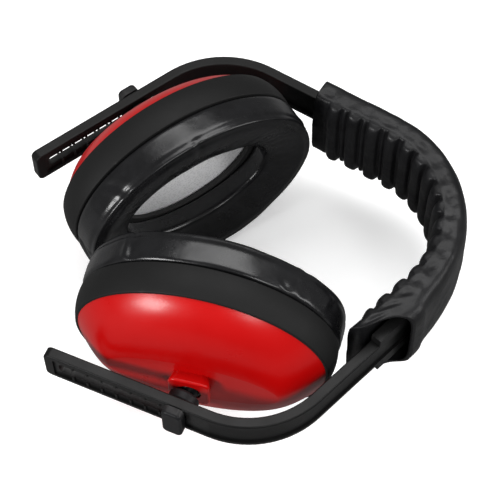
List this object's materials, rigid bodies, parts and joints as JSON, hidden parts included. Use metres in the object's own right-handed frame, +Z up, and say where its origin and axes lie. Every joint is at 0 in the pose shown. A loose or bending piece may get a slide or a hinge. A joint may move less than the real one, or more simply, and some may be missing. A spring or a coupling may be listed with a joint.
{
  "type": "earmuff hearing protector",
  "caption": "Headband earmuffs lying on their side: oval ear cups with padded cushions on ball joints, sliding on slotted band arms, with a padded sleeve over the crown.",
  "frame": {"origin": "centre of the whole object's bounding box at rest", "axes": "+X towards the crown of the band, +Y towards the left cup, +Z up, square to the plane that the band's curve lies in; the earmuffs lie on their side"},
  "size_m": [0.1736, 0.1744, 0.0876],
  "materials": {
    "band_plastic": "black moulded polypropylene, satin",
    "sleeve_vinyl": "black vinyl, semi-gloss, soft wrinkles",
    "pad_foam": "black open-cell foam",
    "slider_plastic": "black moulded nylon, satin",
    "stud_plastic": "black moulded acetal",
    "liner_plastic": "grey moulded acetal",
    "red_shell": "red moulded ABS, satin gloss",
    "rim_plastic": "black moulded plastic, matte",
    "plate_plastic": "black moulded plastic",
    "grey_foam": "light grey open-cell absorbing foam",
    "cushion_vinyl": "black glossy vinyl with creases"
  },
  "bodies": {
    "headband": {"headband_strap": "band_plastic", "headband_pad": "pad_foam", "headband_sleeve": "sleeve_vinyl"},
    "left_slider": {"left_slider_button": "slider_plastic", "left_slider_collar": "slider_plastic"},
    "left_stud": {"left_ball_stud": "stud_plastic"},
    "left_liner": {"left_ball_liner": "liner_plastic"},
    "left_cup": {"left_cup_shell": "red_shell", "left_cup_rim": "rim_plastic", "left_cushion_plate": "plate_plastic", "left_foam_liner": "grey_foam", "left_cushion_skin": "cushion_vinyl", "left_cushion_foam": "pad_foam"},
    "right_slider": {"right_slider_button": "slider_plastic", "right_slider_collar": "slider_plastic"},
    "right_stud": {"right_ball_stud": "stud_plastic"},
    "right_liner": {"right_ball_liner": "liner_plastic"},
    "right_cup": {"right_cup_shell": "red_shell", "right_cup_rim": "rim_plastic", "right_cushion_plate": "plate_plastic", "right_foam_liner": "grey_foam", "right_cushion_skin": "cushion_vinyl", "right_cushion_foam": "pad_foam"}
  },
  "joints": [
    {"name": "left_height_slide", "type": "slide", "parent": "headband", "child": "left_slider", "axis": [0.866, 0.5, 0], "range_m": [-0.0124, 0.003], "deforming": ["left_cushion_skin", "left_cushion_foam"]},
    {"name": "left_stud_swivel", "type": "hinge", "parent": "left_slider", "child": "left_stud", "pos_m": [-0.03648, 0.05979, 0], "axis": [-0.5, 0.866, 0], "range_deg": [-12, 12]},
    {"name": "left_cup_toe", "type": "hinge", "parent": "left_stud", "child": "left_liner", "pos_m": [-0.03648, 0.05979, 0], "axis": [0, 0, 1], "range_deg": [-9, 1]},
    {"name": "left_cup_nod", "type": "hinge", "parent": "left_liner", "child": "left_cup", "pos_m": [-0.03648, 0.05979, 0], "axis": [0.8988, 0.4384, 0], "range_deg": [-8, 8]},
    {"name": "right_height_slide", "type": "slide", "parent": "headband", "child": "right_slider", "axis": [0.866, -0.5, 0], "range_m": [-0.0124, 0], "deforming": ["right_cushion_skin", "right_cushion_foam"]},
    {"name": "right_stud_swivel", "type": "hinge", "parent": "right_slider", "child": "right_stud", "pos_m": [-0.03111, -0.06289, 0], "axis": [-0.5, -0.866, 0], "range_deg": [-12, 12]},
    {"name": "right_cup_toe", "type": "hinge", "parent": "right_stud", "child": "right_liner", "pos_m": [-0.03111, -0.06289, 0], "axis": [0, 0, -1], "range_deg": [-4, 1]},
    {"name": "right_cup_nod", "type": "hinge", "parent": "right_liner", "child": "right_cup", "pos_m": [-0.03111, -0.06289, 0], "axis": [0.9397, -0.342, 0], "range_deg": [-8, 8]}
  ]
}
